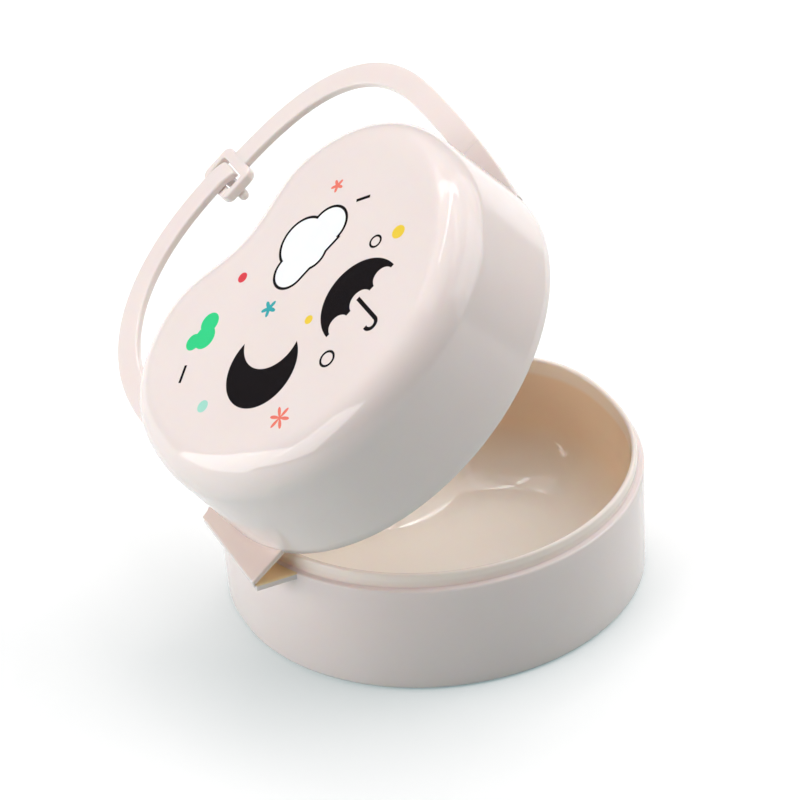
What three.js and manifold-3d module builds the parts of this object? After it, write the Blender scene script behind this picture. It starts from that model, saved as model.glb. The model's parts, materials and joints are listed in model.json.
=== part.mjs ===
// Pacifier case: a bean-shaped tray and a domed lid of one cream polypropylene, joined by a
// living hinge, with a two-piece strap handle on the lid that fastens with a ring and a toggle.
//
// Units are millimetres. X runs from the hinge end (-X) to the free end (+X), Y towards the
// dimpled side, where the handle loops out, and Z is up. The origin is on the underside of the
// tray, halfway along the line where the case is widest. The lid stands part open, as in use.
import * as THREE from "three";
import { mergeVertices } from "three/addons/utils/BufferGeometryUtils.js";
import Module from "manifold-3d";

const wasm = await Module();
wasm.setup();

// Outline of the case, seen from above
const caseLength = 96;
const bellyDepth = 46;
const shoulderDepth = 38.8;
const bellyPowerShare = 2;
const shoulderPowerShare = 2.55;
const dimpleDepth = 6;
const dimpleHalfWidth = 14;

// Tray
const trayHeight = 27;
const trayDraft = 0.6;
const footRadius = 1.2;
const floorThickness = 1.8;
const floorFillet = 17;
const trayInnerDraft = 0.5;
const ledgeWidth = 1.5;
const ledgeRound = 0.35;
const lipHeight = 3.4;
const lipWall = 1.3;
const lipBead = 0.12;
const beadFootShare = 0.25;
const beadCrestShare = 0.5;

// Lid
const lidHeight = 30.2;
const lidDraft = 1.1;
const lidEdgeRadius = 8.5;
const lidWall = 1.6;
const lidCrown = 0.5;
// Rings of the crowned faces: how much of the width is left there, and how much of the crown is reached
const crownShares = [
  { width: 0.75, rise: 0.65 },
  { width: 0.35, rise: 1 },
];

// Room between two pieces that meet or fold together
const seamGap = 0.3;

// Hinge: two leaves that fold on a thin film along their outer edges
const openAngleDegrees = 38.4;
const hingeOverhang = 4.1;
const hingeLength = 28.4;
const hingeCentreY = -7;
const hingeFlare = 3;
const trayLeafThickness = 1.6;
const lidLeafThickness = 1.3;
const hingeFilmThickness = 0.4;
const leafEdgeRound = 0.2;

// Strap handle: each half is a flat band that leaves the lid at one end of the case
const strapWidth = 5.8;
const strapThickness = 2;
const strapChamfer = 0.4;
const strapCreaseY = 25.5;
const creaseLength = 1.4;
const creaseThickness = 0.6;
const creaseSlope = 1;
const rootStartWidth = 0.5;
const ringLegPastShell = 0.3;
const toggleLegInsideShell = 1.1;
const ringSide = {
  halfSpan: caseLength / 2 + ringLegPastShell,
  legEndY: 46.8,
  archPowerShare: 2.8,
};
const toggleSide = {
  halfSpan: caseLength / 2 - toggleLegInsideShell,
  legEndY: 44.5,
  archPowerShare: 2.44,
};

// Clasp: the ring is at the end of one half, the toggle at the end of the other
const claspCentreX = 2.8;
const claspCentreY = 87.4;
const ringLength = 9.6;
const ringWidth = 13.4;
const ringThickness = 2.5;
const ringArmWidth = 1.8;
const ringFarBar = 2.7;
const ringNearBar = 2.5;
const ringNearBarThickness = 1.7;
const ringCornerRadius = 2.2;
const windowCornerRadius = 0.6;
const ringEdgeRound = 0.3;
const toggleHeadPastBar = 3.9;
const toggleHeadRadius = 0.7;
const toggleStemLength = 2.2;
const toggleStemWidth = 3.2;
const toggleBarDiameter = 2.4;
const toggleBarLength = 13.8;

// How finely the round forms are cut into flats
const outlineSteps = 84;
const outlineSamples = 720;
const cornerSteps = 6;
const edgeSteps = 3;
const strapSteps = 34;
const rootSteps = 8;
const barSides = 16;
const filmSteps = 8;

const degrees = Math.PI / 180;
const up = new THREE.Vector3(0, 0, 1);

// Half the seam lies on each side of the plane where tray and lid meet.
const rimPlaneZ = trayHeight + seamGap / 2;
const hingeReach = caseLength / 2 + hingeOverhang;
const hingeNearY = hingeCentreY - hingeLength / 2;
const hingeFarY = hingeCentreY + hingeLength / 2;
// The ring is thicker than the strap and hangs below it; its thin bar carries the other half.
const ringDrop = ringThickness - strapThickness;
const claspLift = ringNearBarThickness - ringDrop + seamGap;

// A power curve through four quadrants: an ellipse at power 2, squarer above it
function powerCurve(angle, halfAcross, halfAlong, power) {
  const x = Math.sin(angle);
  const y = Math.cos(angle);
  return new THREE.Vector2(
    halfAcross * Math.sign(x) * Math.abs(x) ** (2 / power),
    halfAlong * Math.sign(y) * Math.abs(y) ** (2 / power),
  );
}

// The bean outline: a round belly, squarer shoulders and a dimple between the two lobes
function beanPoint(angle) {
  const onShoulder = Math.cos(angle) > 0;
  const depth = onShoulder ? shoulderDepth : bellyDepth;
  const power = onShoulder ? shoulderPowerShare : bellyPowerShare;
  const point = powerCurve(angle, caseLength / 2, depth, power);
  const dimple = dimpleDepth * Math.exp(-((point.x / dimpleHalfWidth) ** 2));
  const fade = THREE.MathUtils.clamp(point.y / shoulderDepth, 0, 1);
  return new THREE.Vector3(point.x, point.y - (onShoulder ? dimple * fade : 0), 0);
}

const beanCurve = new THREE.CatmullRomCurve3(
  Array.from({ length: outlineSamples }, (_, i) => beanPoint(-(2 * Math.PI * i) / outlineSamples)),
  true,
);
beanCurve.arcLengthDivisions = outlineSamples;

// Points of the outline at even steps, counter-clockwise, each with its outward direction
const beanStations = Array.from({ length: outlineSteps }, (_, i) => {
  const share = i / outlineSteps;
  const tangent = beanCurve.getTangentAt(share);
  return { point: beanCurve.getPointAt(share), outward: tangent.cross(up).normalize() };
});

// The outline moved inwards by a distance and lifted to a height
function beanRing(inset, height) {
  return beanStations.map(({ point, outward }) =>
    point.clone().addScaledVector(outward, -inset).setZ(height),
  );
}

// Rings that close a flat outline with a low crown, from its edge inwards
function crownRings(ring, height) {
  const middle = ringMiddle(ring);
  return crownShares.map(({ width, rise }) =>
    ring.map((point) => middle.clone().lerp(point, width).setZ(height + lidCrown * rise)),
  );
}

function ringMiddle(ring) {
  return ring.reduce((sum, point) => sum.add(point), new THREE.Vector3()).divideScalar(ring.length);
}

// Half-width of the case at a distance from its widest line, on the shoulder side
function shoulderHalfWidth(y) {
  const share = Math.min(y / shoulderDepth, 1);
  return (caseLength / 2) * (1 - share ** shoulderPowerShare) ** (1 / shoulderPowerShare);
}

// Half-width on the belly side
function bellyHalfWidth(y) {
  const share = Math.min(Math.abs(y) / bellyDepth, 1);
  return (caseLength / 2) * (1 - share ** bellyPowerShare) ** (1 / bellyPowerShare);
}

function caseHalfWidth(y) {
  return y > 0 ? shoulderHalfWidth(y) : bellyHalfWidth(y);
}

// Points of a round corner in a profile of [inset, height] pairs
function profileCorner(inset, height, radius, fromDegrees, toDegrees, steps) {
  return Array.from({ length: steps + 1 }, (_, i) => {
    const angle = THREE.MathUtils.lerp(fromDegrees, toDegrees, i / steps) * degrees;
    return [inset - radius * Math.cos(angle), height + radius * Math.sin(angle)];
  });
}

// Closed skin over a run of rings with equal point counts; a fan closes each end ring.
function skin(rings) {
  const positions = rings.flat().flatMap((point) => point.toArray());
  const count = rings[0].length;
  const index = [];
  for (let r = 0; r + 1 < rings.length; r++) {
    for (let i = 0; i < count; i++) {
      const a = r * count + i;
      const b = r * count + ((i + 1) % count);
      index.push(a, b, b + count, a, b + count, a + count);
    }
  }
  const startMiddle = rings.length * count;
  const endMiddle = startMiddle + 1;
  const lastRing = (rings.length - 1) * count;
  positions.push(...ringMiddle(rings[0]).toArray());
  positions.push(...ringMiddle(rings[rings.length - 1]).toArray());
  for (let i = 0; i < count; i++) {
    const next = (i + 1) % count;
    index.push(startMiddle, next, i, endMiddle, lastRing + i, lastRing + next);
  }
  const geometry = new THREE.BufferGeometry();
  geometry.setAttribute("position", new THREE.Float32BufferAttribute(positions, 3));
  geometry.setIndex(index);
  return geometry;
}

// A bar of flat, chamfered section through stations of { middle, along, width, bottom, top }
function flatBar(stations, chamfer) {
  return skin(
    stations.map(({ middle, along, width, bottom, top }) => {
      const side = new THREE.Vector3().crossVectors(up, along).normalize();
      const cut = Math.min(chamfer, width / 3, (top - bottom) / 3);
      const corners = [
        [width / 2 - cut, bottom],
        [width / 2, bottom + cut],
        [width / 2, top - cut],
        [width / 2 - cut, top],
        [cut - width / 2, top],
        [-width / 2, top - cut],
        [-width / 2, bottom + cut],
        [cut - width / 2, bottom],
      ];
      return corners.map(([across, height]) =>
        middle.clone().addScaledVector(side, across).addScaledVector(up, height),
      );
    }),
  );
}

function solidOf(geometry) {
  const bare = geometry.clone();
  bare.deleteAttribute("normal");
  bare.deleteAttribute("uv");
  const merged = mergeVertices(bare);
  return new wasm.Manifold(
    new wasm.Mesh({
      numProp: 3,
      vertProperties: merged.attributes.position.array,
      triVerts: new Uint32Array(merged.index.array),
    }),
  );
}

function geometryOf(solid) {
  const mesh = solid.getMesh();
  const geometry = new THREE.BufferGeometry();
  geometry.setAttribute("position", new THREE.Float32BufferAttribute(mesh.vertProperties, 3));
  geometry.setIndex(Array.from(mesh.triVerts));
  return geometry;
}

function plastic(color, roughness) {
  return new THREE.MeshStandardMaterial({ color, roughness, metalness: 0 });
}

function piece(name, geometry, material) {
  const mesh = new THREE.Mesh(geometry, material);
  mesh.name = name;
  mesh.geometry.computeVertexNormals();
  return mesh;
}

// Slab of an outline drawn in plan, with lightly broken edges, standing on height zero
function plate(shape, thickness, edgeRound, curveSegments) {
  const geometry = new THREE.ExtrudeGeometry(shape, {
    depth: thickness - 2 * edgeRound,
    bevelThickness: edgeRound,
    bevelSize: edgeRound,
    bevelOffset: -edgeRound,
    bevelSegments: 1,
    curveSegments,
  });
  return geometry.translate(0, 0, edgeRound);
}

function roundedRectangle(path, width, depth, radius) {
  const x = width / 2;
  const y = depth / 2;
  path.moveTo(x, y - radius);
  path.absarc(x - radius, y - radius, radius, 0, Math.PI / 2);
  path.absarc(radius - x, y - radius, radius, Math.PI / 2, Math.PI);
  path.absarc(radius - x, radius - y, radius, Math.PI, 1.5 * Math.PI);
  path.absarc(x - radius, radius - y, radius, 1.5 * Math.PI, 2 * Math.PI);
  return path;
}

// Tray: underside, foot, outer wall, ledge, raised lip with a fine bead, inner wall and floor
function trayGeometry() {
  const lipOuter = ledgeWidth;
  const lipInner = ledgeWidth + lipWall;
  const lipTop = trayHeight + lipHeight;
  const lipRound = lipWall / 2;
  const floorInset = lipInner + trayInnerDraft;
  const profile = [
    ...profileCorner(trayDraft + footRadius, footRadius, footRadius, -90, 0, edgeSteps),
    ...profileCorner(ledgeRound, trayHeight - ledgeRound, ledgeRound, 0, 90, edgeSteps),
    [lipOuter, trayHeight],
    [lipOuter, trayHeight + lipHeight * beadFootShare],
    [lipOuter - lipBead, trayHeight + lipHeight * beadCrestShare],
    ...profileCorner(lipOuter + lipRound, lipTop - lipRound, lipRound, 0, 180, cornerSteps),
    ...profileCorner(
      floorInset + floorFillet,
      floorThickness + floorFillet,
      floorFillet,
      0,
      -90,
      cornerSteps,
    ),
  ];
  return skin(profile.map(([inset, height]) => beanRing(inset, height)));
}

// Lid, drawn closed with its rim on height zero: ceiling, inner wall, rim, outer wall, dome edge, top
function lidGeometry() {
  const rimWall = ledgeWidth - seamGap;
  const stepHeight = lipHeight + 2 * seamGap;
  const topInset = lidDraft + lidEdgeRadius;
  const ceilingHeight = lidHeight - lidWall;
  const innerRadius = lidEdgeRadius - lidWall;
  const ceiling = beanRing(topInset, ceilingHeight);
  const flatTop = beanRing(topInset, lidHeight);
  const profile = [
    ...profileCorner(topInset, ceilingHeight - innerRadius, innerRadius, 90, 0, cornerSteps),
    [lidWall + seamGap, stepHeight + lidWall - rimWall],
    [rimWall, stepHeight],
    [rimWall, 0],
    [0, 0],
    ...profileCorner(topInset, lidHeight - lidEdgeRadius, lidEdgeRadius, 0, 90, cornerSteps + 2),
  ];
  return skin([
    ...crownRings(ceiling, ceilingHeight).reverse(),
    ...profile.map(([inset, height]) => beanRing(inset, height)),
    ...crownRings(flatTop, lidHeight),
  ]);
}

// One hinge leaf in plan: it follows the wall on one side and the fold line on the other.
function leafShape() {
  const foldX = -hingeReach + seamGap;
  const shape = new THREE.Shape();
  shape.moveTo(foldX, hingeFarY);
  shape.lineTo(foldX, hingeNearY);
  for (let i = 0; i <= rootSteps; i++) {
    const y = THREE.MathUtils.lerp(hingeNearY, hingeFarY + hingeFlare, i / rootSteps);
    shape.lineTo(-caseHalfWidth(y) - seamGap, y);
  }
  shape.closePath();
  return shape;
}

// The film: a thin strip curled round the fold line, from one leaf's edge to the other's
function hingeFilmGeometry() {
  const inner = seamGap;
  const outer = inner + hingeFilmThickness;
  const trayEnd = 1.5 * Math.PI;
  const lidEnd = Math.PI / 2 + openAngleDegrees * degrees;
  const section = new THREE.Shape();
  section.absarc(0, 0, outer, lidEnd, trayEnd, false);
  section.absarc(0, 0, inner, trayEnd, lidEnd, true);
  section.closePath();
  const geometry = new THREE.ExtrudeGeometry(section, {
    depth: hingeLength,
    bevelEnabled: false,
    curveSegments: filmSteps,
  });
  geometry.rotateX(Math.PI / 2);
  return geometry.translate(-hingeReach, hingeFarY, rimPlaneZ);
}

// Middle of a strap leg at a distance from the widest line: its outer edge starts flush with the
// lid's wall and bows out to the full span.
function legMiddleX(side, y) {
  const tuck = side.halfSpan + strapWidth / 2 - caseLength / 2;
  const share = 1 - y / side.legEndY;
  return side.halfSpan - tuck * share * share;
}

// Centre line of one half from its crease to its end, before it is mirrored to its own side
function strapLine(side, endX) {
  const points = [];
  const startY = strapCreaseY + creaseLength / 2 + seamGap;
  for (let i = 0; i < rootSteps; i++) {
    const y = THREE.MathUtils.lerp(startY, side.legEndY, i / rootSteps);
    points.push(new THREE.Vector3(legMiddleX(side, y), y, 0));
  }
  const endAngle = Math.acos(Math.max(endX / side.halfSpan, 0) ** (side.archPowerShare / 2));
  const archDepth = claspCentreY - side.legEndY;
  for (let i = 1; i <= outlineSteps; i++) {
    const angle = endAngle * (i / outlineSteps) ** (side.archPowerShare / 2);
    const arch = powerCurve(Math.PI / 2 - angle, side.halfSpan, archDepth, side.archPowerShare);
    points.push(new THREE.Vector3(arch.x, side.legEndY + arch.y, 0));
  }
  return new THREE.CatmullRomCurve3(points);
}

// One half of the strap; mirror is 1 on the ring's side and -1 on the toggle's, and the far end
// is lifted where it lies over the ring's bar.
function strapHalfGeometry(side, mirror, endX, lift) {
  const line = strapLine(side, endX);
  const stations = [];
  for (let i = 0; i <= strapSteps; i++) {
    const share = i / strapSteps;
    const middle = line.getPointAt(share);
    const along = line.getTangentAt(share);
    middle.x *= mirror;
    along.x *= mirror;
    const raised = lift * THREE.MathUtils.smoothstep(share, 0, 1);
    stations.push({
      middle,
      along,
      width: strapWidth,
      bottom: raised,
      top: raised + strapThickness,
    });
  }
  const start = stations[0];
  const grooved = { ...start, middle: start.middle.clone(), top: creaseThickness };
  stations[0] = grooved;
  const shoulder = { ...start, middle: start.middle.clone().addScaledVector(start.along, creaseSlope) };
  stations.splice(1, 0, shoulder);
  return flatBar(stations, strapChamfer);
}

// Fixed root of one half: it grows out of the lid's wall, no nearer than fromY, and ends at the crease.
function strapRootGeometry(side, mirror, fromY) {
  const endY = strapCreaseY - creaseLength / 2 - seamGap;
  const edgesAt = (y) => {
    const middle = legMiddleX(side, y);
    const wall = shoulderHalfWidth(y) + seamGap;
    return { outer: middle + strapWidth / 2, inner: Math.max(middle - strapWidth / 2, wall) };
  };
  const along = Array.from({ length: outlineSteps }, (_, i) =>
    THREE.MathUtils.lerp(fromY, endY, i / outlineSteps),
  );
  const startY = along.find((y) => edgesAt(y).outer - edgesAt(y).inner >= rootStartWidth);
  const stations = [];
  for (let i = 0; i <= rootSteps; i++) {
    const y = THREE.MathUtils.lerp(startY, endY - creaseSlope, i / rootSteps);
    stations.push({ y, top: strapThickness });
  }
  stations.push({ y: endY, top: creaseThickness });
  return flatBar(
    stations.map(({ y, top }) => {
      const { outer, inner } = edgesAt(y);
      return {
        middle: new THREE.Vector3((mirror * (outer + inner)) / 2, y, 0),
        along: new THREE.Vector3(0, 1, 0),
        width: outer - inner,
        bottom: 0,
        top,
      };
    }),
    strapChamfer,
  );
}

// Thin web across the crease, where the handle folds
function creaseFilmGeometry(side, mirror) {
  const ends = [strapCreaseY - creaseLength / 2, strapCreaseY + creaseLength / 2];
  return flatBar(
    ends.map((y) => ({
      middle: new THREE.Vector3(mirror * legMiddleX(side, strapCreaseY), y, 0),
      along: new THREE.Vector3(0, 1, 0),
      width: strapWidth,
      bottom: 0,
      top: creaseThickness,
    })),
    strapChamfer,
  );
}

// Ring: a frame with a lower bar on the side where the other half lies over it
function ringGeometry() {
  const frame = roundedRectangle(new THREE.Shape(), ringLength, ringWidth, ringCornerRadius);
  const windowLength = ringLength - ringFarBar - ringNearBar;
  const windowWidth = ringWidth - 2 * ringArmWidth;
  const hole = roundedRectangle(new THREE.Path(), windowLength, windowWidth, windowCornerRadius);
  const shift = (ringNearBar - ringFarBar) / 2;
  const cutFrame = new THREE.Shape(frame.getPoints(cornerSteps));
  cutFrame.holes.push(
    new THREE.Path(hole.getPoints(edgeSteps).map((p) => new THREE.Vector2(p.x + shift, p.y))),
  );
  const body = solidOf(plate(cutFrame, ringThickness, ringEdgeRound, cornerSteps));
  const relief = new THREE.BoxGeometry(2 * ringNearBar, windowWidth, ringThickness);
  relief.translate(-ringLength / 2, 0, ringNearBarThickness + ringThickness / 2);
  const ring = body.subtract(solidOf(relief));
  return geometryOf(ring).translate(claspCentreX, claspCentreY, -ringDrop);
}

// Toggle: a head that lies over the ring's bar, a stem through its window and a cross bar below
function toggleGeometry() {
  const nearEdgeX = claspCentreX - ringLength / 2;
  const headStartX = nearEdgeX - seamGap;
  const headEndX = nearEdgeX + ringNearBar + toggleHeadPastBar;
  const headShape = roundedRectangle(
    new THREE.Shape(),
    headEndX - headStartX,
    strapWidth,
    toggleHeadRadius,
  );
  const head = plate(headShape, strapThickness, ringEdgeRound, edgeSteps);
  head.translate((headStartX + headEndX) / 2, claspCentreY, claspLift);
  const barRadius = toggleBarDiameter / 2;
  const barHeight = -ringDrop - seamGap - barRadius;
  const stemX = nearEdgeX + ringNearBar + seamGap + toggleStemLength / 2;
  const stemTop = claspLift + strapThickness / 2;
  const stem = new THREE.BoxGeometry(toggleStemLength, toggleStemWidth, stemTop - barHeight);
  stem.translate(stemX, claspCentreY, (stemTop + barHeight) / 2);
  const bar = new THREE.CapsuleGeometry(
    barRadius,
    toggleBarLength - toggleBarDiameter,
    edgeSteps,
    barSides,
  );
  bar.translate(stemX, claspCentreY, barHeight);
  return geometryOf(solidOf(head).add(solidOf(stem)).add(solidOf(bar)));
}

const cream = plastic(0xece2db, 0.3);
const creamShade = plastic(0xe3d6cb, 0.32);

const nearEdgeOfRing = claspCentreX - ringLength / 2;
const farEdgeOfRing = claspCentreX + ringLength / 2;

// Everything in this group is drawn with the lid closed: X and Y as on the tray, height from the rim.
const lidClosed = new THREE.Group();
lidClosed.position.set(hingeReach, 0, seamGap / 2);
lidClosed.add(
  piece("lid_shell", lidGeometry(), cream),
  piece("lid_hinge_leaf", plate(leafShape(), lidLeafThickness, leafEdgeRound, edgeSteps), creamShade),
  piece("strap_root_ring_side", strapRootGeometry(ringSide, 1, 0), cream),
  piece(
    "strap_root_toggle_side",
    strapRootGeometry(toggleSide, -1, hingeFarY + hingeFlare + seamGap),
    cream,
  ),
  piece("crease_film_ring_side", creaseFilmGeometry(ringSide, 1), cream),
  piece("crease_film_toggle_side", creaseFilmGeometry(toggleSide, -1), cream),
  piece("strap_ring_half", strapHalfGeometry(ringSide, 1, farEdgeOfRing + seamGap, 0), cream),
  piece(
    "strap_toggle_half",
    strapHalfGeometry(toggleSide, -1, 2 * seamGap - nearEdgeOfRing, claspLift),
    cream,
  ),
  piece("clasp_ring", ringGeometry(), cream),
  piece("clasp_toggle", toggleGeometry(), cream),
);

// The lid turns about the fold line of the hinge.
const lidTurned = new THREE.Group();
lidTurned.position.set(-hingeReach, 0, rimPlaneZ);
lidTurned.rotation.y = -openAngleDegrees * degrees;
lidTurned.add(lidClosed);

const trayLeaf = plate(leafShape(), trayLeafThickness, leafEdgeRound, edgeSteps);
trayLeaf.translate(0, 0, trayHeight - trayLeafThickness);

const pacifierCase = new THREE.Group();
pacifierCase.add(
  piece("base_tray", trayGeometry(), cream),
  piece("base_hinge_leaf", trayLeaf, creamShade),
  piece("hinge_film", hingeFilmGeometry(), creamShade),
  lidTurned,
);

export default pacifierCase;
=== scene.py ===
# %% [markdown]
# # A pacifier case with a living hinge and a strap handle
# The solids, their sizes and their joints come from the CAD model. This lesson loads them as a
# frame, models each visible piece again with finer curves, and gives the moulded plastic and the
# print on the lid their look. Everything lies in the frame of the CAD model.

# %% Load the CAD model as the frame
import json
import math

import bmesh
import bpy
from mathutils import Matrix, Quaternion, Vector


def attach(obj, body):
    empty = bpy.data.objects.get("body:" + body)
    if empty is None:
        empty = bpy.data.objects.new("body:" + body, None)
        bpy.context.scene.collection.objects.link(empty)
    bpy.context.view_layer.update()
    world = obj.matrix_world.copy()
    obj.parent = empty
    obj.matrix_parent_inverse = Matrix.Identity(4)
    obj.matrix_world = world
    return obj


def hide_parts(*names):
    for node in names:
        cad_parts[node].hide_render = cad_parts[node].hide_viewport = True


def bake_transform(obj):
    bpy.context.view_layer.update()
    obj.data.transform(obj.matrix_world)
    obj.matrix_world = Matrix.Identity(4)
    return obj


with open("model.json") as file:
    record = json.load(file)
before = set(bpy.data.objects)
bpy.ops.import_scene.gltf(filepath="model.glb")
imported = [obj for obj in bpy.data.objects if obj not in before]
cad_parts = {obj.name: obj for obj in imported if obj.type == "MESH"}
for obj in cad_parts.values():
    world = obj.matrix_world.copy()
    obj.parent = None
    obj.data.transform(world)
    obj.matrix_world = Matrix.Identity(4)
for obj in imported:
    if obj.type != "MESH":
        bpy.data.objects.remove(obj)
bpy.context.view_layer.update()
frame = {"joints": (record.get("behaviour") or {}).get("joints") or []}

mm = 0.001

# %% [markdown]
# ## Camera
# The photograph was taken from the front left, from well above and from far away, with the camera
# tilted a little. A long lens from the same place gives the same weak perspective. The camera
# looks from its place to a point in the case and is then rolled about its own axis.

# %% Camera
camera_place = Vector((-333.99, -799.80, 619.71)) * mm
camera_aim = Vector((3.88, 25.49, 30.0)) * mm
camera_roll = math.radians(-4.222)
camera_data = bpy.data.cameras.new("camera")
camera_data.lens = 210.35
camera_data.sensor_width = 36
camera_data.clip_start = 0.05
camera_data.clip_end = 50
camera = bpy.data.objects.new("camera", camera_data)
bpy.context.scene.collection.objects.link(camera)
camera.location = camera_place
camera.rotation_mode = "QUATERNION"
look = (camera_aim - camera_place).to_track_quat("-Z", "Y")
camera.rotation_quaternion = look @ Quaternion((0, 0, 1), camera_roll)
bpy.context.scene.camera = camera
print("camera distance, mm:", round((camera_aim - camera_place).length / mm))

# %% [markdown]
# ## Where the lid is
# Tray and lid meet at a rim plane, and the lid stands open about the living hinge. It is simplest
# to model the lid closed, with its rim at height zero, and then to turn the finished mesh about
# the hinge line by the open angle. Both come from the joint in the frame.

# %% Frames of the tray and the lid
hinge = next(joint for joint in frame["joints"] if joint["name"] == "lid_hinge")
open_angle = math.radians(-hinge["range_deg"][0])
hinge_x = hinge["pos_m"][0] / mm
rim_plane = hinge["pos_m"][2] / mm
half_seam = 0.15
in_tray = Matrix.Scale(mm, 4)
lid_turn = (
    Matrix.Translation((hinge_x, 0, rim_plane))
    @ Matrix.Rotation(-open_angle, 4, "Y")
    @ Matrix.Translation((-hinge_x, 0, half_seam))
)
in_lid = in_tray @ lid_turn


print("open by degrees:", round(math.degrees(open_angle), 1), "hinge line at x", round(hinge_x, 2))

# %% [markdown]
# ## The outline that tray and lid share
# Seen from above the case is a bean: a full belly in front and broader shoulders with a shallow
# dimple behind. Powers of sine and cosine bend an ellipse into that shape. The points are spread
# evenly along the curve, so that all faces are of one size and highlights run smoothly.

# %% Bean outline
case_half_length = 48
belly_depth = 46
shoulder_depth = 38.8
belly_power = 2.0
shoulder_power = 2.55
dimple_depth = 6
dimple_half_width = 14
station_count = 288


def signed_power(value, power):
    return math.copysign(abs(value) ** power, value)


def bean_point(angle):
    """One point of the outline at an angle from the back, in millimetres."""
    behind = math.cos(angle) > 0
    depth = shoulder_depth if behind else belly_depth
    power = 2 / (shoulder_power if behind else belly_power)
    across = case_half_length * signed_power(math.sin(angle), power)
    along = depth * signed_power(math.cos(angle), power)
    if behind:
        dimple = dimple_depth * math.exp(-((across / dimple_half_width) ** 2))
        along -= dimple * min(max(along / shoulder_depth, 0), 1)
    return Vector((across, along))


def even_stations(points, count):
    """Points at even steps along a closed line of points."""
    lengths = [0]
    for here, after in zip(points, points[1:] + points[:1]):
        lengths.append(lengths[-1] + (after - here).length)
    stations = []
    segment = 0
    for number in range(count):
        target = lengths[-1] * number / count
        while lengths[segment + 1] < target:
            segment += 1
        share = (target - lengths[segment]) / (lengths[segment + 1] - lengths[segment])
        here = points[segment]
        after = points[(segment + 1) % len(points)]
        stations.append(here.lerp(after, share))
    return stations


fine_outline = [bean_point(-math.tau * number / 4000) for number in range(4000)]
bean = even_stations(fine_outline, station_count)
bean_out = []
for number in range(station_count):
    along_curve = bean[(number + 1) % station_count] - bean[number - 1]
    bean_out.append(Vector((along_curve.y, -along_curve.x)).normalized())
bean_middle = sum(bean, Vector((0, 0))) / station_count


def wall_half_width(along):
    """Half of the case's width at a distance behind the middle, in millimetres."""
    depth = shoulder_depth if along > 0 else belly_depth
    power = shoulder_power if along > 0 else belly_power
    share = min(abs(along) / depth, 1)
    return case_half_length * (1 - share**power) ** (1 / power)


print("outline, mm:", [round(max(p[axis] for p in bean), 1) for axis in (0, 1)])

# %% [markdown]
# ## Growing a skin
# Almost every piece here is a skin that follows one line: the tray and the lid follow the bean
# outline while their section goes up, round the rim and down the inside, and the strap follows
# its path. One helper does them all. It starts from a circle, gives each point a station number,
# extrudes the open edge for every further ring, and puts the new points where the piece wants
# them. Both ends are then closed with one face each. Each point keeps the number of its ring as
# an attribute, so that a finish can tell the inside of a shell from its outside.

# %% Skin, profile and piece helpers


def grow_skin(stations, rings, place, closed=True):
    """Extrude a circle ring by ring; place(ring, station) says where each point goes."""
    bm = bmesh.new()
    number = bm.verts.layers.int.new("station")
    order = bm.verts.layers.float.new("ring")
    first = bmesh.ops.create_circle(bm, segments=stations, radius=1)["verts"]
    for count, vert in enumerate(first):
        vert[number] = count
        vert.co = place(rings[0], count)
    first_edges = list(bm.edges)
    edges = first_edges
    for ring_count, ring in enumerate(rings[1:], start=1):
        grown = bmesh.ops.extrude_edge_only(bm, edges=edges)["geom"]
        fresh = {item for item in grown if isinstance(item, bmesh.types.BMVert)}
        for vert in fresh:
            vert[order] = ring_count
            vert.co = place(ring, vert[number])
        loose = [item for item in grown if isinstance(item, bmesh.types.BMEdge)]
        edges = [edge for edge in loose if set(edge.verts) <= fresh]
    if closed:
        bmesh.ops.contextual_create(bm, geom=first_edges)
        bmesh.ops.contextual_create(bm, geom=edges)
    bmesh.ops.recalc_face_normals(bm, faces=bm.faces)
    return bm


def corner(inset, height, radius, start, end, steps):
    """Points of a rounded corner of a section, about a centre, angles in degrees."""
    points = []
    for step in range(steps + 1):
        angle = math.radians(start + (end - start) * step / steps)
        points.append((inset - radius * math.cos(angle), height + radius * math.sin(angle)))
    return points


def refined(profile, longest):
    """The same section with points added, so that no step is longer than longest."""
    points = [profile[0]]
    for after in profile[1:]:
        here = points[-1]
        steps = max(1, math.ceil(math.dist(here, after) / longest))
        for step in range(1, steps + 1):
            share = step / steps
            points.append(tuple(a + (b - a) * share for a, b in zip(here, after)))
    return points


def bean_place(ring, station):
    """Point of a ring (inset, height, and how far it is shrunk towards the middle)."""
    inset, height, size = ring
    flat = bean_middle + (bean[station] - bean_out[station] * inset - bean_middle) * size
    return Vector((flat.x, flat.y, height))


def make_piece(name, bm, placing, body=None):
    """Turn a bmesh in millimetres into a smooth-shaded object placed in the case's frame."""
    bmesh.ops.transform(bm, matrix=placing, verts=bm.verts)
    mesh = bpy.data.meshes.new(name)
    bm.to_mesh(mesh)
    bm.free()
    for face in mesh.polygons:
        face.use_smooth = True
    piece = bpy.data.objects.new(name, mesh)
    bpy.context.scene.collection.objects.link(piece)
    if body:
        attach(piece, body)
    print(name, "faces:", len(mesh.polygons))
    return piece


# %% [markdown]
# ## Tray
# The base is one thin-walled moulding. From the foot its wall goes up with a little draft to a
# ledge, steps in to a raised lip with a fine snap bead, rolls over the lip and drops down a
# drafted inner wall into a wide fillet and the floor. All of that is one section, a list of
# insets from the bean and heights, swept round the bean.

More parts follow.
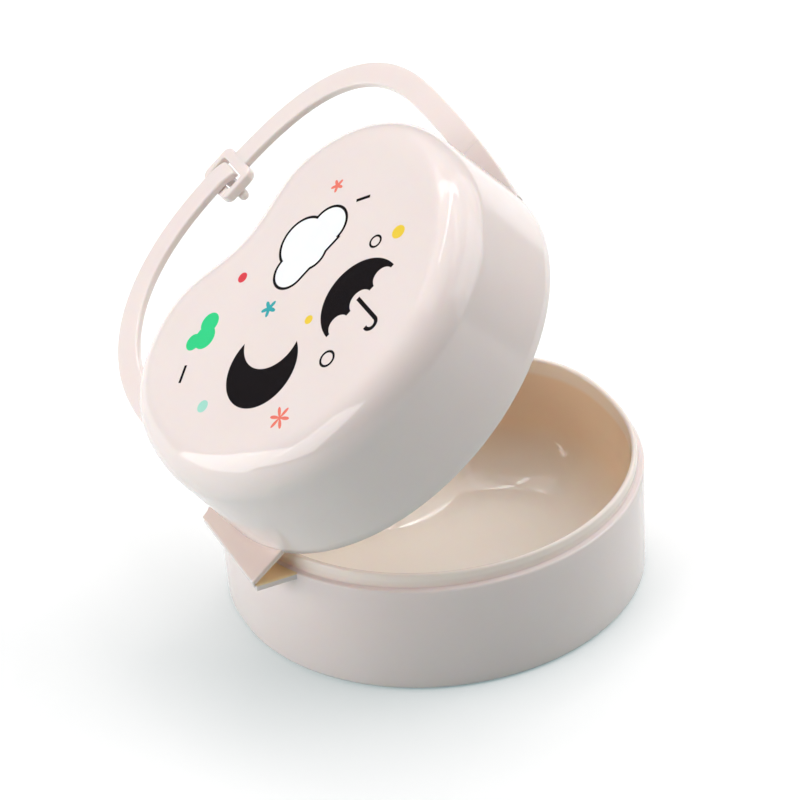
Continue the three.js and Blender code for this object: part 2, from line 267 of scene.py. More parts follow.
# %% Tray
tray_height = 27
foot_round = 1.2
ledge_round = 0.55
lip_round = 0.65
lip_middle = 2.15
floor_height = 1.8
floor_fillet = 17
fillet_inset = 20.3
tray_section = [(2.6, 0)]
tray_section += corner(1.8, foot_round, foot_round, -90, 0, 6)
tray_section += corner(0.57, tray_height - ledge_round, ledge_round, 0, 90, 5)
for inset, rise in [(1.4, 0), (1.5, 0.1), (1.5, 0.85), (1.4, 1.5), (1.38, 1.7), (1.42, 2.1)]:
    tray_section.append((inset, tray_height + rise))
tray_section += corner(lip_middle, tray_height + 2.75, lip_round, 0, 180, 10)
tray_section += corner(fillet_inset, floor_height + floor_fillet, floor_fillet, 0, -90, 30)
tray_section.append((fillet_inset + 0.5, floor_height))
tray_rings = [(inset, height, 1) for inset, height in refined(tray_section, 2)]
inner_wall_ring = next(
    count
    for count, (inset, height, size) in enumerate(tray_rings)
    if inset > lip_middle + lip_round - 0.01
)
print("first ring of the inner wall:", inner_wall_ring)
tray = make_piece("tray", grow_skin(station_count, tray_rings, bean_place), in_tray, "base")
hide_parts("base_tray")

# %% [markdown]
# ## Lid
# The lid is a shell too: a wall with draft, a large round edge and a nearly flat, slightly crowned
# top. Inside, the section follows at the wall's thickness down to a step that takes the tray's
# lip. The crown is made by shrinking the last ring towards the middle while it rises.

# %% Lid
lid_height = 30.2
lid_crown = 0.5
edge_inset = 9.6
edge_height = 21.7
outer_edge_radius = 8.45
inner_edge_radius = 6.9


def crown_rings(inset, height):
    """Rings that close a flat top with a slight crown, from its edge to near its middle."""
    sizes = [0.97, 0.92, 0.85, 0.75, 0.65, 0.55, 0.45, 0.35, 0.25, 0.15, 0.06]
    return [(inset, height + lid_crown * (1 - size**2) ** 1.5, size) for size in sizes]


lid_section = corner(edge_inset, edge_height, inner_edge_radius, 90, 0, 12)
lid_section += [(1.9, 4.4), (1.2, 4.0), (1.2, 0.25), (1.0, 0), (0.2, 0), (0.02, 0.2)]
lid_section += corner(edge_inset, edge_height, outer_edge_radius, 0, 90, 22)
lid_rings = crown_rings(edge_inset, edge_height + inner_edge_radius)[::-1]
lid_rings += [(inset, height, 1) for inset, height in refined(lid_section, 2)]
lid_rings += crown_rings(edge_inset, edge_height + outer_edge_radius)
lid = make_piece("lid", grow_skin(station_count, lid_rings, bean_place), in_lid, "lid")
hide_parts("lid_shell")

# %% [markdown]
# ## Hinge leaves
# At the hinge end a flat leaf stands out from the rim of the tray and another from the rim of the
# lid. Each is a small grid whose far side follows the wall and runs into it, as the moulding does,
# and which is given its thickness by extruding and its soft edges by a bevel.

# %% Hinge leaves
leaf_near = -21.2
leaf_far = 7.2
leaf_flare = 3
leaf_into_wall = 0.6


def leaf(name, bottom, top, placing, body):
    """A leaf between two heights, from the fold edge to just inside the wall."""
    bm = bmesh.new()
    bmesh.ops.create_grid(bm, x_segments=3, y_segments=28, size=0.5)
    for vert in bm.verts:
        inward = vert.co.x + 0.5
        share = vert.co.y + 0.5
        end = leaf_far + leaf_flare * inward**2
        along = leaf_near + (end - leaf_near) * share
        wall = -wall_half_width(along) + leaf_into_wall
        vert.co = Vector((hinge_x + (wall - hinge_x) * inward, along, bottom))
    raised = bmesh.ops.extrude_face_region(bm, geom=list(bm.faces), use_keep_orig=True)["geom"]
    fresh = [item for item in raised if isinstance(item, bmesh.types.BMVert)]
    bmesh.ops.translate(bm, vec=(0, 0, top - bottom), verts=fresh)
    bmesh.ops.recalc_face_normals(bm, faces=bm.faces)
    sharp = [edge for edge in bm.edges if edge.calc_face_angle(0) > 0.8]
    bmesh.ops.bevel(
        bm, geom=sharp, offset=0.25, affect="EDGES", segments=3, profile=0.5, material=-1
    )
    return make_piece(name, bm, placing, body)


tray_leaf = leaf("tray_leaf", tray_height - 1.6, tray_height - 0.02, in_tray, "base")
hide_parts("base_hinge_leaf")
lid_leaf = leaf("lid_leaf", 0.02, 1.3, in_lid, "lid")
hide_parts("lid_hinge_leaf")

# %% [markdown]
# ## Living hinge
# The two leaves are joined by a film a few tenths of a millimetre thick along their outer edges.
# It bends every time the lid is opened. Spinning a small rectangle about the fold line gives its
# curved section, which runs from the tray's leaf round to the lid's leaf at the open angle.

# %% Hinge film
film_start = math.radians(270)
film_end = math.radians(90) + open_angle
film_middle_radius = 0.48
film_thickness = 0.36
film_end_gap = 0.25


def film_point(angle, along):
    """A point in the middle of the film, in millimetres."""
    across = hinge_x + film_middle_radius * math.cos(angle)
    return Vector((across, along, rim_plane + film_middle_radius * math.sin(angle)))


film_bm = bmesh.new()
bmesh.ops.create_grid(film_bm, x_segments=1, y_segments=12, size=0.5)
for vert in film_bm.verts:
    radius = film_middle_radius + film_thickness * vert.co.x
    film_length = leaf_far - leaf_near - 2 * film_end_gap
    along = leaf_near + film_end_gap + film_length * (vert.co.y + 0.5)
    vert.co = Vector((hinge_x, along, rim_plane - radius))
bmesh.ops.spin(
    film_bm,
    geom=list(film_bm.verts) + list(film_bm.edges) + list(film_bm.faces),
    cent=(hinge_x, 0, rim_plane),
    axis=(0, 1, 0),
    angle=film_start - film_end,
    steps=14,
)
bmesh.ops.recalc_face_normals(film_bm, faces=film_bm.faces)
film = make_piece("hinge_fold", film_bm, in_tray)
film_point(film_start, -7) * mm
film_point(film_end, -7) * mm
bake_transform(film)
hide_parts("hinge_film")

# %% [markdown]
# ## Path of the strap
# The handle is a flat strap that grows out of the lid's rim at both ends of the case and arches
# round behind it. Its two halves meet at the clasp. Each half has a leg that curves gently beside
# the case and an arch that is part of a rounded outline, with a faint crease where it bends up.

# %% Strap path
strap_width = 5.8
strap_thickness = 2
crease_y = 25.5
clasp_x = 2.8
clasp_y = 87.4
ring_side = {"half_span": 48.3, "leg_end": 46.8, "power": 2.8, "mirror": 1}
toggle_side = {"half_span": 46.9, "leg_end": 44.5, "power": 2.44, "mirror": -1}


def strap_path(side, from_y, to_x):
    """Middle line of one half, from the wall to the clasp, in the lid's plan."""
    span = side["half_span"]
    leg_end = side["leg_end"]
    tuck = span + strap_width / 2 - case_half_length
    points = []
    steps = 160
    for step in range(steps):
        along = from_y + (leg_end - from_y) * step / steps
        points.append(Vector((span - tuck * (1 - along / leg_end) ** 2, along)))
    last_angle = math.acos((max(to_x, 0) / span) ** (side["power"] / 2))
    for step in range(steps + 1):
        angle = last_angle * (step / steps) ** (side["power"] / 2)
        across = span * math.cos(angle) ** (2 / side["power"])
        rise = (clasp_y - leg_end) * math.sin(angle) ** (2 / side["power"])
        points.append(Vector((across, leg_end + rise)))
    return points


def along_path(points, spacing_at):
    """Points along an open line, spaced by a function of the place."""
    walked = [0]
    for here, after in zip(points, points[1:]):
        walked.append(walked[-1] + (after - here).length)
    chosen = []
    target = 0
    segment = 0
    while target < walked[-1]:
        while walked[segment + 1] < target:
            segment += 1
        share = (target - walked[segment]) / (walked[segment + 1] - walked[segment])
        chosen.append((points[segment].lerp(points[segment + 1], share), target))
        target += spacing_at(chosen[-1][0])
    chosen.append((points[-1], walked[-1]))
    return chosen, walked[-1]


# %% [markdown]
# ## Section of the strap
# The strap's section is a flat bar with soft edges. A circle of points is laid round a rounded
# rectangle, so the same skin helper can sweep it. The inner edge stops just inside the lid's wall,
# so that the strap rises out of the wall without showing inside the lid.

# %% Strap section
section_count = 36
edge_round = 0.45


def rounded_rectangle_points(width, height, radius, side_points=0):
    """Points round a rounded rectangle about its middle, with extra ones on its straight sides."""
    corners = []
    for quarter, (sx, sy) in enumerate([(1, 1), (-1, 1), (-1, -1), (1, -1)]):
        for step in range(9):
            angle = math.radians(90 * quarter + 90 * step / 8)
            across = sx * (width / 2 - radius) + radius * math.cos(angle)
            up = sy * (height / 2 - radius) + radius * math.sin(angle)
            corners.append(Vector((across, up)))
    outline = []
    for number, here in enumerate(corners):
        outline.append(here)
        if number % 9 == 8:
            after = corners[(number + 1) % len(corners)]
            for step in range(1, side_points + 1):
                outline.append(here.lerp(after, step / (side_points + 1)))
    return outline


def strap_ring_points(width, height):
    """The strap's section, scaled to a width and height but with edges of constant radius."""
    radius = min(edge_round, width * 0.49, height * 0.49)
    return rounded_rectangle_points(width, height, radius)


def crease_drop(along):
    """How far the top dips in the crease."""
    away = min(abs(along - crease_y) / 1.0, 1)
    return 0.1 * (1 + math.cos(math.pi * away))


def sweep_strap(name, side, from_y, to_x, lift, head=None):
    """Sweep one half from the wall to the clasp, with an optional rounded head at its end."""
    path = strap_path(side, from_y, to_x)

    def spacing(point):
        return 0.2 if abs(point.y - crease_y) < 2.4 and point.x > 20 else 0.9

    chosen, total = along_path(path, spacing)
    fold_start = next(walked for point, walked in chosen if point.y > crease_y + 1)
    rings = []
    for number, (point, walked) in enumerate(chosen):
        before = chosen[max(number - 1, 0)][0]
        after = chosen[min(number + 1, len(chosen) - 1)][0]
        forward = (after - before).normalized()
        outward = Vector((forward.y, -forward.x))
        inner = strap_width / 2
        if point.y < shoulder_depth:
            room = point.x - wall_half_width(point.y) + 0.6
            inner = min(inner, max(room / max(outward.x, 0.5), -strap_width / 2 + 0.3))
        outer_edge = point + outward * strap_width / 2
        inner_edge = point - outward * inner
        share = min(max((walked - fold_start) / (total - fold_start), 0), 1)
        raised = lift * share * share * (3 - 2 * share)
        top = raised + strap_thickness
        if point.x > 20:
            top -= crease_drop(point.y)
        rings.append((outer_edge, inner_edge, raised + 0.06, top))
    for outer_edge, inner_edge, drop in head or []:
        rings.append((outer_edge, inner_edge, lift - drop, lift + strap_thickness - drop))

    def place(ring, station):
        outer_edge, inner_edge, bottom, top = ring
        middle = (outer_edge + inner_edge) / 2
        width = (outer_edge - inner_edge).length
        outward = (outer_edge - inner_edge).normalized()
        corner_point = strap_ring_points(width, top - bottom)[station]
        flat = middle + outward * corner_point.x
        return Vector((flat.x * side["mirror"], flat.y, (top + bottom) / 2 + corner_point.y))

    return make_piece(name, grow_skin(section_count, rings, place), in_lid)


# %% [markdown]
# ## Half with the ring
# This half runs from the right end of the lid to the ring, with the crease between its root and
# the rest of it.

# %% Ring half of the strap
def fold_with(piece):
    """Bake a strap's placing into its mesh."""
    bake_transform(piece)


ring_strap = sweep_strap("strap_with_ring", ring_side, 1.0, 6.2, -0.04)
fold_with(ring_strap)
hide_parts("strap_root_ring_side", "crease_film_ring_side", "strap_ring_half")

# %% [markdown]
# ## Half with the toggle
# The other half rises a little towards the clasp, goes over the ring's near bar and dips into its
# window. It ends in a head with rounded corners, so the last rings of the sweep get lower, and
# then narrower along two quarter circles.

# %% Toggle half of the strap
head_end = 4.4
head_radius = 0.8
head_dip = 1.0
dip_start = -0.6
head_rings = []
head_start = 2.6
for step in range(1, 17):
    across = -head_start + (head_end - head_radius + head_start) * step / 16
    head_rings.append((across, strap_width / 2))
for step in range(1, 9):
    angle = math.radians(88 * step / 8)
    across = head_end - head_radius + head_radius * math.sin(angle)
    head_rings.append((across, strap_width / 2 - head_radius * (1 - math.cos(angle))))
head_edges = []
for across, half_width in head_rings:
    outer_edge = Vector((-across, clasp_y + half_width))
    inner_edge = Vector((-across, clasp_y - half_width))
    share = min(max((across - dip_start) / (head_end - dip_start), 0), 1)
    head_edges.append((outer_edge, inner_edge, head_dip * share * share))
toggle_strap = sweep_strap("strap_with_toggle", toggle_side, 8.0, head_start, 1.5, head_edges)
fold_with(toggle_strap)
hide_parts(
    "strap_root_toggle_side", "crease_film_toggle_side", "strap_toggle_half"
)

# %% [markdown]
# ## Ring
# The ring is a rectangular frame with round corners and a lower near bar, where the other half
# lies over it. Two loops of points, one for the outside and one for the window, are bridged, and
# the flat frame is extruded to its thickness and given soft edges.

# %% Clasp ring
ring_top = 2.0
ring_bottom = -0.5
near_bar_top = 1.2
ring_middle = Vector((clasp_x, clasp_y, 0))
window_middle = Vector((2.7, clasp_y, 0))


def loop_round(bm, middle, width, height, radius):
    """A closed loop of points round a rounded rectangle in the plan."""
    points = rounded_rectangle_points(width, height, radius, 10)
    loop = bmesh.ops.create_circle(bm, segments=len(points), radius=1)["verts"]
    for vert, point in zip(loop, points):
        vert.co = middle + Vector((point.x, point.y, ring_top))
    return {edge for vert in loop for edge in vert.link_edges}


ring_bm = bmesh.new()
outer_loop = loop_round(ring_bm, ring_middle, 9.6, 13.4, 2.2)
window_loop = loop_round(ring_bm, window_middle, 4.4, 9.8, 0.6)
bmesh.ops.bridge_loops(ring_bm, edges=list(outer_loop | window_loop))
bmesh.ops.recalc_face_normals(ring_bm, faces=ring_bm.faces)
lowered = bmesh.ops.extrude_face_region(
    ring_bm, geom=list(ring_bm.faces), use_keep_orig=True
)["geom"]
lowered = [item for item in lowered if isinstance(item, bmesh.types.BMVert)]
bmesh.ops.translate(ring_bm, vec=(0, 0, ring_bottom - ring_top), verts=lowered)
bmesh.ops.recalc_face_normals(ring_bm, faces=ring_bm.faces)
for vert in ring_bm.verts:
    if vert.co.z > ring_top - 0.01:
        beside = min(max((4.9 - abs(vert.co.y - clasp_y)) / 1.6, 0), 1)
        on_bar = min(max((1.0 - vert.co.x) / 0.5, 0), 1)
        vert.co.z -= (ring_top - near_bar_top) * beside * on_bar
ring_edges = [edge for edge in ring_bm.edges if edge.calc_face_angle(0) > 0.8]
bmesh.ops.bevel(
    ring_bm, geom=ring_edges, offset=0.4, affect="EDGES", segments=4, profile=0.5, material=-1
)
ring = make_piece("clasp_ring_piece", ring_bm, in_lid, "ring_half")
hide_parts("clasp_ring")

# %% [markdown]
# ## Toggle
# Below the head a stem goes through the ring's window to a round cross bar, which is longer than
# the window is wide when the clasp is fastened. The bar is a capsule, swept from a circle whose
# radius grows and shrinks at the ends, and the stem is a bar with bevelled edges.

# %% Clasp toggle
stem_middle = Vector((1.9, clasp_y, 0.2))
stem_size = Vector((2.2, 3.2, 4.0))
bar_middle = Vector((stem_middle.x, clasp_y, -2.0))
bar_radius = 1.2
bar_sides = 32
bar_half_length = 6.9
bar_rings = []
for step in range(1, 11):
    angle = math.radians(90 * step / 10)
    bar_rings.append((-bar_half_length + bar_radius * (1 - math.cos(angle)), math.sin(angle)))
bar_rings += [(-offset, size) for offset, size in reversed(bar_rings)]


def bar_place(ring_at, station):
    """A point of the cross bar: how far along, and how wide it is there."""
    offset, size = ring_at
    angle = math.tau * station / bar_sides
    around = Vector((math.cos(angle), 0, math.sin(angle))) * bar_radius * size
    return bar_middle + Vector((0, offset, 0)) + around


bar_bm = grow_skin(bar_sides, bar_rings, bar_place)
stem = bmesh.ops.create_cube(bar_bm, size=1)["verts"]
for vert in stem:
    vert.co = stem_middle + stem_size * vert.co
stem_edges = {edge for vert in stem for edge in vert.link_edges}
stem_edges = list(stem_edges)
bmesh.ops.bevel(
    bar_bm, geom=stem_edges, offset=0.3, affect="EDGES", segments=3, profile=0.5, material=-1
)
toggle = make_piece("clasp_toggle_piece", bar_bm, in_lid, "toggle_half")
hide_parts("clasp_toggle")

# %% [markdown]
# ## Writing materials as sums
# A shader is easiest to read as arithmetic. One small class wraps a node's output, so that an
# expression such as `1 - mask` adds its Math node, and one method adds any other node from its
# type, its settings and the values of its sockets.

# %% Shader helpers


class Sock:
    """An output socket that can be used in sums."""

    def __init__(self, finish, socket):
        self.finish = finish
        self.socket = socket

    def maths(self, operation, *values, clamp=False):
        settings = {"operation": operation, "use_clamp": clamp}
        return self.finish.node("ShaderNodeMath", settings, dict(enumerate(values)))

    def __add__(self, other):
        return self.maths("ADD", self, other)

    def __radd__(self, other):
        return self.maths("ADD", other, self)

    def __sub__(self, other):
        return self.maths("SUBTRACT", self, other)

    def __rsub__(self, other):
        return self.maths("SUBTRACT", other, self)

    def __mul__(self, other):
        return self.maths("MULTIPLY", self, other)

    def __rmul__(self, other):
        return self.maths("MULTIPLY", other, self)

    def __neg__(self):
        return self.maths("MULTIPLY", self, -1)

    def either(self, other):
        return self.maths("MAXIMUM", self, other)

    def both(self, other):
        return self.maths("MINIMUM", self, other)

    def size(self):
        return self.maths("ABSOLUTE", self)

    def inked(self, softness=0.1):
        """A mask from a signed distance in millimetres: 1 inside, 0 outside."""
        return self.maths("MULTIPLY_ADD", self, 1 / softness, 0.5, clamp=True)

    def ramp(self, start, end):
        """A mask from a length in metres: 0 at start and 1 at end, both in millimetres."""
        slope = 1 / ((end - start) * mm)
        return self.maths("MULTIPLY_ADD", self, slope, -start * mm * slope, clamp=True)


class Finish:
    """A material, or a world, that is built from nodes."""

    def __init__(self, owner):
        self.owner = owner
        self.owner.use_nodes = True
        self.tree = self.owner.node_tree
        self.tree.nodes.clear()

    def node(self, kind, settings=None, values=None, output=0):
        made = self.tree.nodes.new(kind)
        for name, value in (settings or {}).items():
            setattr(made, name, value)
        for name, value in (values or {}).items():
            if isinstance(value, Sock):
                self.tree.links.new(value.socket, made.inputs[name])
            else:
                made.inputs[name].default_value = value
        return Sock(self, made.outputs[output]) if len(made.outputs) else made

    def mix(self, mask, first, second):
        """Blend two colours by a mask."""
        settings = {"data_type": "RGBA", "clamp_factor": True}
        return self.node("ShaderNodeMix", settings, {0: mask, 6: first, 7: second}, output=2)

    def noise(self, where, scale, detail=2.0, roughness=0.5):
        values = {"Vector": where, "Scale": scale, "Detail": detail, "Roughness": roughness}
        return self.node("ShaderNodeTexNoise", {}, values)

    def coordinates(self):
        return self.node("ShaderNodeTexCoord", output=3)

    def parts(self, vector):
        """The three numbers of a vector, each on its own."""
        split = self.node("ShaderNodeSeparateXYZ", {}, {"Vector": vector}).socket.node
        return [Sock(self, output) for output in split.outputs]

    def ray(self, kind):
        """A mask that is 1 for one kind of ray."""
        path = self.node("ShaderNodeLightPath").socket.node
        return Sock(self, path.outputs[kind])


def colour(red, green, blue):
    """A screen colour of 0 to 255 as the linear values that a shader takes."""
    linear = []
    for value in (red, green, blue):
        value /= 255
        linear.append(value / 12.92 if value <= 0.04045 else ((value + 0.055) / 1.055) ** 2.4)
    return (*linear, 1)


# %% [markdown]
# ## Cream polypropylene
# The case is glossy moulded polypropylene in a warm cream. A plain colour would look dead, so the
# colour and the gloss vary a little over centimetres, as flow in the mould leaves them, and a very
# faint waviness breaks up the reflections. Some subsurface light softens the shades, as it does
# in a plastic that lets a little light in. Pieces that need more give a function that decorates.

# %% Moulded plastic
cream_light = colour(238, 225, 222)
cream_deep = colour(234, 220, 216)
# Painted shade: a deeper, warmer cream for the tray's inner wall and the facing sides of the hinge
# leaves.
cream_painted_shade = colour(245, 220, 188)
# Painted light: a paler cream for the tray's inner floor, which sees the sky.
cream_painted_floor_light = colour(248, 238, 230)
# Painted light: a warm cream for light coming through the tray's thin lip.
cream_painted_lip_light = colour(245, 230, 222)
# Painted shade: a deep cream in the hollow of the hinge.
cream_painted_hollow_shade = colour(255, 222, 176)
plastic_ior = 1.49
light_depth = 0.003
# Painted shade: a warmer cream for the lid's thin leaf, which lies under the lid.
cream_painted_leaf_shade = colour(235, 213, 205)


def moulded(name, decorate=None):
    """The cream plastic, with an optional function that changes its colour and its gloss."""
    finish = Finish(bpy.data.materials.new(name))
    where = finish.coordinates()
    clouds = finish.noise(where, 45, 3)
    base = finish.mix(clouds, cream_light, cream_deep)
    gloss = 0.03 + 0.05 * finish.noise(where, 160, 4)
    if decorate:
        base, gloss = decorate(finish, where, base, gloss)
    waves = finish.noise(where, 70, 1)
    grain = finish.noise(where, 2600, 2)
    height = waves * 0.02 + grain * 0.001
    bump = finish.node(
        "ShaderNodeBump", {}, {"Strength": 0.08, "Distance": 0.002, "Height": height}
    )
    plastic = finish.node(
        "ShaderNodeBsdfPrincipled",
        {},
        {
            "Base Color": base,
            "Roughness": gloss,
            "Normal": bump,
            "IOR": plastic_ior,
            "Subsurface Weight": 0.3,
            "Subsurface Radius": (1.0, 0.55, 0.3),
            "Subsurface Scale": light_depth,
        },
    )
    finish.node("ShaderNodeOutputMaterial", {}, {"Surface": plastic})
    return finish.owner


plain_plastic = moulded("cream_plastic")

# %% [markdown]
# ## Inside of the tray
# Light that comes in through the tray's wall is warm, so the inner wall is painted a deeper cream
# as painted shade, a little lighter near the rim as painted light through the thin lip, and the
# floor, which sees the sky, is painted paler as painted light. The lip above the ledge is thin and
# is painted a little warm as painted light coming through it, and in the hinge's hollow it gets
# painted shade.
# The ring number that the skin helper left on the mesh says which faces are inside, and the height
# says how deep the painted colour is.

# %% Tray finish


def tray_painted_light_and_shade(finish, where, base, gloss):
    """Paint shade on the inner wall, light on the inner floor and the thin lip, and shade in the
    hinge's hollow.
    """
    ring = finish.node("ShaderNodeAttribute", {"attribute_name": "ring"}, output=2)
    within = ring.maths("SUBTRACT", ring, inner_wall_ring - 1, clamp=True)
    across, along, up = finish.parts(where)
    above_floor = up.ramp(1.5, 14.0)
    below_rim = up.ramp(27.11, 26.0)
    # Painted shade on the inner wall, weaker near the rim as painted light through the thin lip.
    on_wall = above_floor * (0.35 + 0.65 * below_rim)
    on_lip = up.ramp(27.05, 27.3)
    in_hollow = across.ramp(-44.6, -46.6)
    # Painted light on the thin lip, and painted shade on it in the hinge's hollow.
    base = finish.mix(on_lip, base, finish.mix(in_hollow, cream_painted_lip_light, cream_painted_hollow_shade))
    # Inside the tray: painted light on the floor, painted shade on the wall.
    return finish.mix(within, base, finish.mix(on_wall, cream_painted_floor_light, cream_painted_shade)), gloss


tray_plastic = moulded("cream_plastic_tray", decorate=tray_painted_light_and_shade)

# %% [markdown]
# ## Print on the lid
# A small print of sky and weather motifs decorates the lid: a moon, a cloud, an umbrella, stars
# and dots in black and a few bright colours. Each motif is worked out from distances in the lid's
# own plan, in millimetres, so its edges stay sharp at any size and no picture is needed. A Mapping
# node turns the coordinates back by the open angle, and the print shows only on the outer top.

# %% Print motifs
back_to_plan = in_lid.inverted()
ink_black = colour(28, 24, 26)
ink_white = colour(250, 248, 250)
ink_red = colour(222, 74, 84)
ink_mint = colour(168, 222, 206)
ink_teal = colour(64, 170, 176)
ink_yellow = colour(240, 206, 72)
ink_coral = colour(238, 128, 112)
ink_green = colour(60, 212, 140)


class Plan:
    """Distances in the lid's plan; positive inside a motif."""

    def __init__(self, finish, where):
        self.finish = finish
        values = {
            "Vector": where,
            "Location": back_to_plan.to_translation(),
            "Rotation": back_to_plan.to_euler(),
            "Scale": (1 / mm, 1 / mm, 1 / mm),
        }
        place = finish.node("ShaderNodeMapping", {"vector_type": "POINT"}, values)
        self.across, self.along, self.up = finish.parts(place)
        flat = {"operation": "MULTIPLY"}
        self.flat = finish.node("ShaderNodeVectorMath", flat, {0: place, 1: (1, 1, 0)})

    def disc(self, across, along, radius):
        values = {0: self.flat, 1: (across, along, 0)}
        settings = {"operation": "DISTANCE"}
        away = self.finish.node("ShaderNodeVectorMath", settings, values, output=1)
        return radius - away

    def discs(self, *spots):
        joined = self.disc(*spots[0])
        for spot in spots[1:]:
            joined = joined.either(self.disc(*spot))
        return joined

    def bar(self, across, along, half_width, half_height, turn=0.0):
        """A straight bar about a middle, turned by an angle in degrees."""
        side = math.cos(math.radians(turn))
        rise = math.sin(math.radians(turn))
        shift = -across * side - along * rise
        other = across * rise - along * side
        first = (self.across * side + self.along * rise + shift).size()
        second = (self.along * side - self.across * rise + other).size()
        return (half_width - first).both(half_height - second)

    def star(self, across, along, radius, points, depth):
        """A star: a disc whose radius swings with the angle."""
        right = self.across - across
        up = self.along - along
        angle = right.maths("ARCTAN2", up, right)
        swing = (angle * points).maths("COSINE", angle * points)
        return self.disc(across, along, radius) + (swing - 1) * (radius * depth)


# %% [markdown]
# ## Lid finish
# The inks are laid over the plastic one after another, dark outlines first and the colours over
# them, and each makes its place a little glossier, as a printed film does.

# %% Lid with its print


def sky_print(finish, where, base, gloss):
    """Lay the motifs over the plastic's colour."""
    plan = Plan(finish, where)
    on_top = plan.up.maths("GREATER_THAN", plan.up, lid_height - 0.9)
    moon = plan.disc(-15, -10, 10).both(-plan.disc(-8.8, -5.6, 8.0))
    cloud_spots = [(3.5, 5.6, 4.6), (9.6, 9.2, 6.4), (16.2, 6.4, 5.0), (9.5, 4.6, 4.4)]
    cloud = plan.discs(*cloud_spots)
    cloud = cloud.either(plan.bar(9.8, 3.2, 6.4, 2.2))
    dome = plan.disc(10.5, -19.5, 10.6).both(plan.along + 19.5)
    scallops = plan.discs((3.5, -19.9, 2.7), (10.5, -19.9, 3.0), (17.5, -19.9, 2.7))
    dome = dome.both(-scallops)
    handle = plan.bar(10.5, -22.6, 0.5, 4.2)
    hook = plan.disc(9.0, -27.0, 2.0).both(-plan.disc(9.0, -27.0, 1.0)).both(-26.6 - plan.along)
    bead = plan.disc(21.5, -9.5, 1.7).both(-plan.disc(21.5, -9.5, 1.15))
    loop = plan.disc(-3.0, -24.5, 2.1).both(-plan.disc(-3.0, -24.5, 1.5))
    dashes = plan.bar(-29.5, 9.5, 2.2, 0.4, 35).either(plan.bar(25.8, 4.0, 1.9, 0.4, -40))
    black = moon.either(cloud + 0.35).either(dome).either(handle).either(hook)
    black = black.either(bead).either(loop).either(dashes)
    inks = [
        (black, ink_black),
        (cloud - 0.35, ink_white),
        (plan.discs((-20.5, 12.5, 3.0), (-17.6, 14.6, 2.6), (-23.2, 14.4, 2.1)), ink_green),
        (plan.disc(-5.6, 17.0, 1.3), ink_red),
        (plan.disc(-30.5, -3.5, 1.5), ink_mint),
        (plan.star(-5.5, 2.0, 2.2, 5, 0.3), ink_teal),
        (plan.disc(26.5, -13.0, 1.7), ink_yellow),
        (plan.star(-19.0, -26.0, 2.9, 6, 0.42), ink_coral),
        (plan.star(23.5, 14.0, 1.8, 5, 0.3), ink_coral),
        (plan.disc(-0.5, -11.0, 1.1), ink_yellow),
    ]
    printed = None
    for shape, ink in inks:
        mask = shape.inked() * on_top
        base = finish.mix(mask, base, ink)
        printed = mask if printed is None else printed.either(mask)
    return base, gloss - printed * 0.02


lid_plastic = moulded("cream_plastic_lid", decorate=sky_print)

# %% [markdown]
# ## Hollow of the hinge
# Between the leaves the light has gone through the plastic and looks deeper, as it does in the
# tray, and that is painted here as painted shade. The facing sides of the two leaves get a deeper
# cream as painted shade, the lower one more and more towards the wall, and the upper leaf, which
# is thin and lies under the lid, is painted a little warmer all over as painted shade.

# %% Hinge finishes


def tray_leaf_shade(finish, where, base, gloss):
    """Paint shade on the upper side of the tray's leaf, deeper and deeper towards the wall."""
    across, along, up = finish.parts(where)
    inner = up.maths("GREATER_THAN", up, (tray_height - 0.3) * mm)
    towards_wall = across.ramp(hinge_x, hinge_x + 4)
    deep = finish.mix(towards_wall, cream_painted_shade, cream_painted_hollow_shade)
    return finish.mix(inner, base, deep), gloss


def lid_leaf_shade(finish, where, base, gloss):
    """Paint shade on the thin leaf of the lid all over, deepest on its lower side."""
    up = Plan(finish, where).up
    inner = up.maths("LESS_THAN", up, 0.3)
    return finish.mix(inner, cream_painted_leaf_shade, cream_painted_shade), gloss


tray_leaf_plastic = moulded("cream_plastic_tray_leaf", decorate=tray_leaf_shade)
lid_leaf_plastic = moulded("cream_plastic_lid_leaf", decorate=lid_leaf_shade)

# %% [markdown]
# ## Dressing the pieces
# Each piece takes its material in its first slot. The lid gets the print, the tray and the leaves
# their painted light and shade, and everything else the plain plastic.

# %% Give each piece its finish
for piece in (film, ring_strap, toggle_strap, ring, toggle):
    piece.data.materials.append(plain_plastic)
tray_leaf.data.materials.append(tray_leaf_plastic)
lid_leaf.data.materials.append(lid_leaf_plastic)
tray.data.materials.append(tray_plastic)
lid.data.materials.append(lid_plastic)
print("finishes:", [material.name for material in bpy.data.materials])

# %% [markdown]
# ## Floor and light
# The case stands on white paper in a bright studio. For the light that it sends up the floor is a
# plain surface, a little cool. For the camera and for reflections it is paler and glows a little,
# so that the page stays white, and the object's shadow on it is soft and slightly blue.

# %% Floor
floor_bm = bmesh.new()
bmesh.ops.create_grid(floor_bm, x_segments=1, y_segments=1, size=6)
bmesh.ops.translate(floor_bm, vec=(0, 0, -0.0001), verts=floor_bm.verts)
floor_mesh = bpy.data.meshes.new("floor")
floor_bm.to_mesh(floor_mesh)
floor_bm.free()
floor = bpy.data.objects.new("floor", floor_mesh)
bpy.context.scene.collection.objects.link(floor)

paper = Finish(bpy.data.materials.new("white_paper"))
paper_lit = (0.48, 0.58, 0.58, 1)
paper_seen = (0.85, 0.77, 0.76, 1)
paper_glow = (0.13, 0.22, 0.23, 1)
seen = paper.ray("Is Camera Ray").either(paper.ray("Is Glossy Ray"))
shade = paper.mix(seen, paper_lit, paper_seen)
surface = paper.node("ShaderNodeBsdfDiffuse", {}, {"Color": shade})
lift = paper.node("ShaderNodeEmission", {}, {"Color": paper_glow, "Strength": seen})
both = paper.node("ShaderNodeAddShader", {}, {0: surface, 1: lift})
paper.node("ShaderNodeOutputMaterial", {}, {"Surface": both})
floor.data.materials.append(paper.owner)
print("floor:", floor.name, "finish:", paper.owner.name)

# %% [markdown]
# ## World
# The world gives a faint even light from all sides. The camera sees it as plain white.

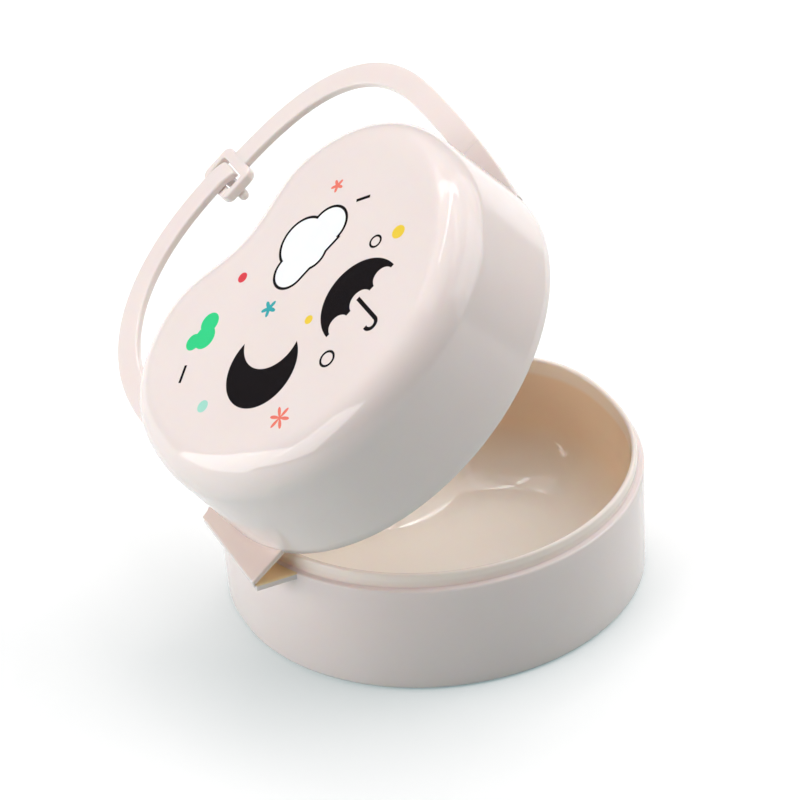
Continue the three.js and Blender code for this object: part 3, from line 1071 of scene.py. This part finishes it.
# %% World
world_light = 0.06
world = bpy.data.worlds.new("studio")
bpy.context.scene.world = world
sky = Finish(world)
strength = world_light + (1 - world_light) * sky.ray("Is Camera Ray")
glow = sky.node("ShaderNodeBackground", {}, {"Color": (1, 1, 1, 1), "Strength": strength})
sky.node("ShaderNodeOutputWorld", {}, {"Surface": glow})
print("world light:", world_light)

# %% [markdown]
# ## Softboxes
# The shades and highlights on the real case say where the lamps are. Two softboxes low on the left
# light its near side and draw the bright line on the lid's round edge. Two hang overhead, with a
# narrow strip beside them. Another strip behind draws the thin line on the tray's floor, and three
# large dim softboxes on the right fill the shade without a sharp reflection.

# %% Softboxes
lamp_aim_height = 50 * mm


def softbox(name, bearing, elevation, distance, width, height, watts, aside=0.0):
    """An area lamp that looks at the case from a bearing (from +X) and an elevation."""
    turn = math.radians(bearing)
    rise = math.radians(elevation)
    flat = Vector((math.cos(turn), math.sin(turn), 0))
    away = flat * math.cos(rise) + Vector((0, 0, math.sin(rise)))
    data = bpy.data.lights.new(name, "AREA")
    data.shape = "RECTANGLE"
    data.size = width
    data.size_y = height
    data.energy = watts
    lamp = bpy.data.objects.new(name, data)
    bpy.context.scene.collection.objects.link(lamp)
    lamp.location = away * distance + Vector((flat.y, -flat.x, 0)) * aside
    lamp.location.z += lamp_aim_height
    lamp.rotation_euler = (-away).to_track_quat("-Z", "Y").to_euler()


softbox("softbox_left", 156, 11, 1.5, 1.0, 0.7, 8)
softbox("softbox_left_front", 190, 22, 1.5, 0.9, 0.9, 8.7)
softbox("softbox_top", 110, 76, 1.5, 1.1, 1.6, 6.5)
softbox("softbox_top_wide", 105, 68, 2.2, 3.0, 2.0, 6)
softbox("strip_top", 112, 70, 1.33, 0.95, 0.09, 1.2, aside=0.28)
softbox("strip_back", 72, 57, 1.4, 0.95, 0.14, 1.4)
softbox("softbox_right", 0, 45, 2.2, 3.0, 3.0, 30)
softbox("softbox_right_back", 45, 50, 2.2, 2.5, 2.0, 8)
softbox("softbox_right_front", -20, 30, 2.2, 2.0, 2.0, 16)
bpy.context.scene.view_settings.view_transform = "Standard"
print("lamps:", len(bpy.data.lights), "watts:", sum(lamp.energy for lamp in bpy.data.lights))
